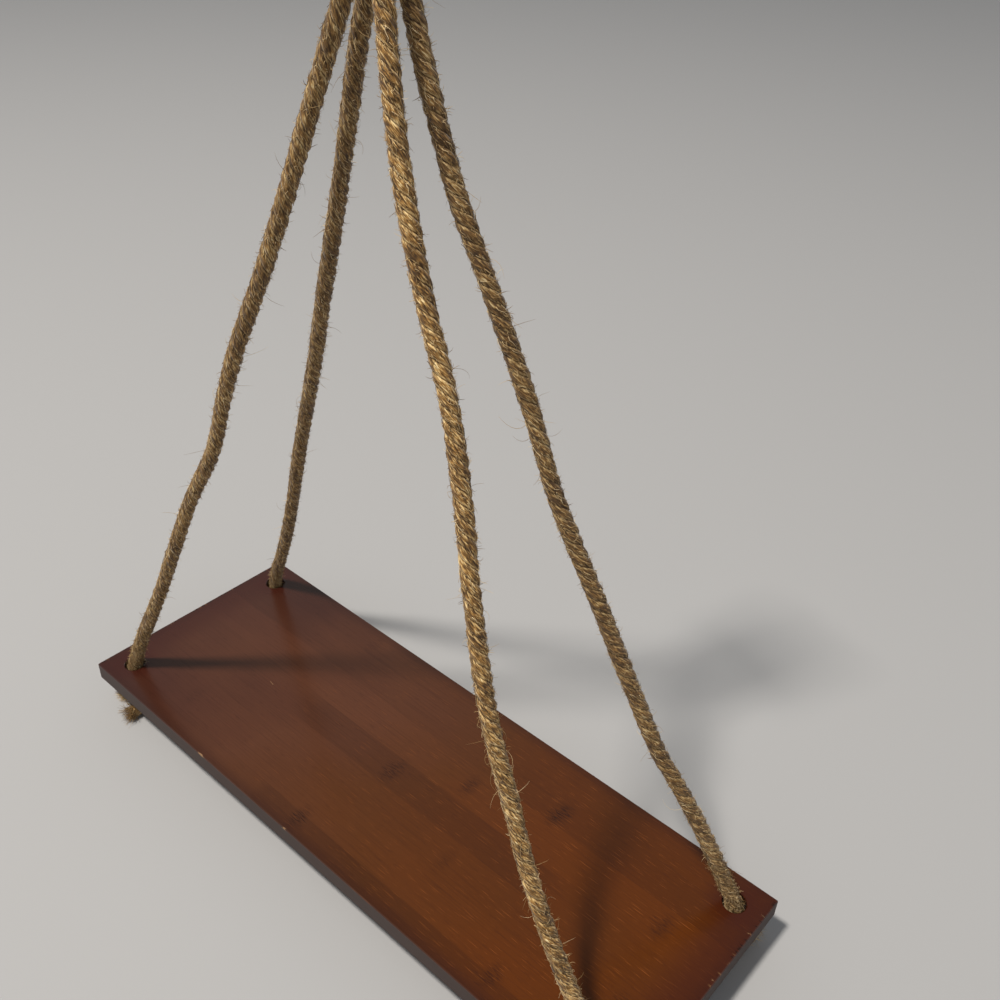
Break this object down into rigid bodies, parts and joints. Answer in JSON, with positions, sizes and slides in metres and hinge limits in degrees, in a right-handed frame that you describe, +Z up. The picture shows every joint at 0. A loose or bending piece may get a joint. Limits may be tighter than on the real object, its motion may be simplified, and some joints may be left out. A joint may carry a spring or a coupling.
{
  "type": "hanging rope shelf",
  "caption": "Hanging shelf: a flat dark bamboo board held at its corners by jute ropes that end in stopper knots below and gather under a bound hanging loop above.",
  "frame": {"origin": "where a hook bears, on the underside of the hanging loop's crown, between the two ropes", "axes": "+Z up, +X towards the board's right end, +Y towards its back edge"},
  "size_m": [0.42, 0.15, 0.6267],
  "materials": {
    "bamboo": "glued bamboo strips, dark red-brown satin lacquer",
    "jute_rope": "three-strand twisted jute, dry and hairy",
    "jute_twine": "thin twisted jute twine"
  },
  "bodies": {
    "hanging_loop": {"hanging_loop_front": "jute_rope", "hanging_loop_back": "jute_rope"},
    "binding": {"twine_binding": "jute_twine", "bound_rope_front_left": "jute_rope", "bound_rope_back_left": "jute_rope", "bound_rope_front_right": "jute_rope", "bound_rope_back_right": "jute_rope"},
    "neck": {"rope_neck_front_left": "jute_rope", "rope_neck_back_left": "jute_rope", "rope_neck_front_right": "jute_rope", "rope_neck_back_right": "jute_rope"},
    "shelf": {"bamboo_board": "bamboo", "rope_leg_front_left": "jute_rope", "rope_leg_back_left": "jute_rope", "rope_leg_front_right": "jute_rope", "rope_leg_back_right": "jute_rope", "stopper_knot_front_left": "jute_rope", "stopper_knot_back_left": "jute_rope", "stopper_knot_front_right": "jute_rope", "stopper_knot_back_right": "jute_rope"}
  },
  "joints": [
    {"name": "side_swing", "type": "hinge", "parent": "hanging_loop", "child": "binding", "pos_m": [0, 0, -0.074], "axis": [0, 1, 0], "range_deg": [-20, 20]},
    {"name": "spin", "type": "hinge", "parent": "binding", "child": "neck", "pos_m": [0, 0, -0.112], "axis": [0, 0, 1], "range_deg": [-90, 90]},
    {"name": "fore_aft_swing", "type": "hinge", "parent": "neck", "child": "shelf", "pos_m": [0, 0, -0.142], "axis": [1, 0, 0], "range_deg": [-20, 20]}
  ]
}
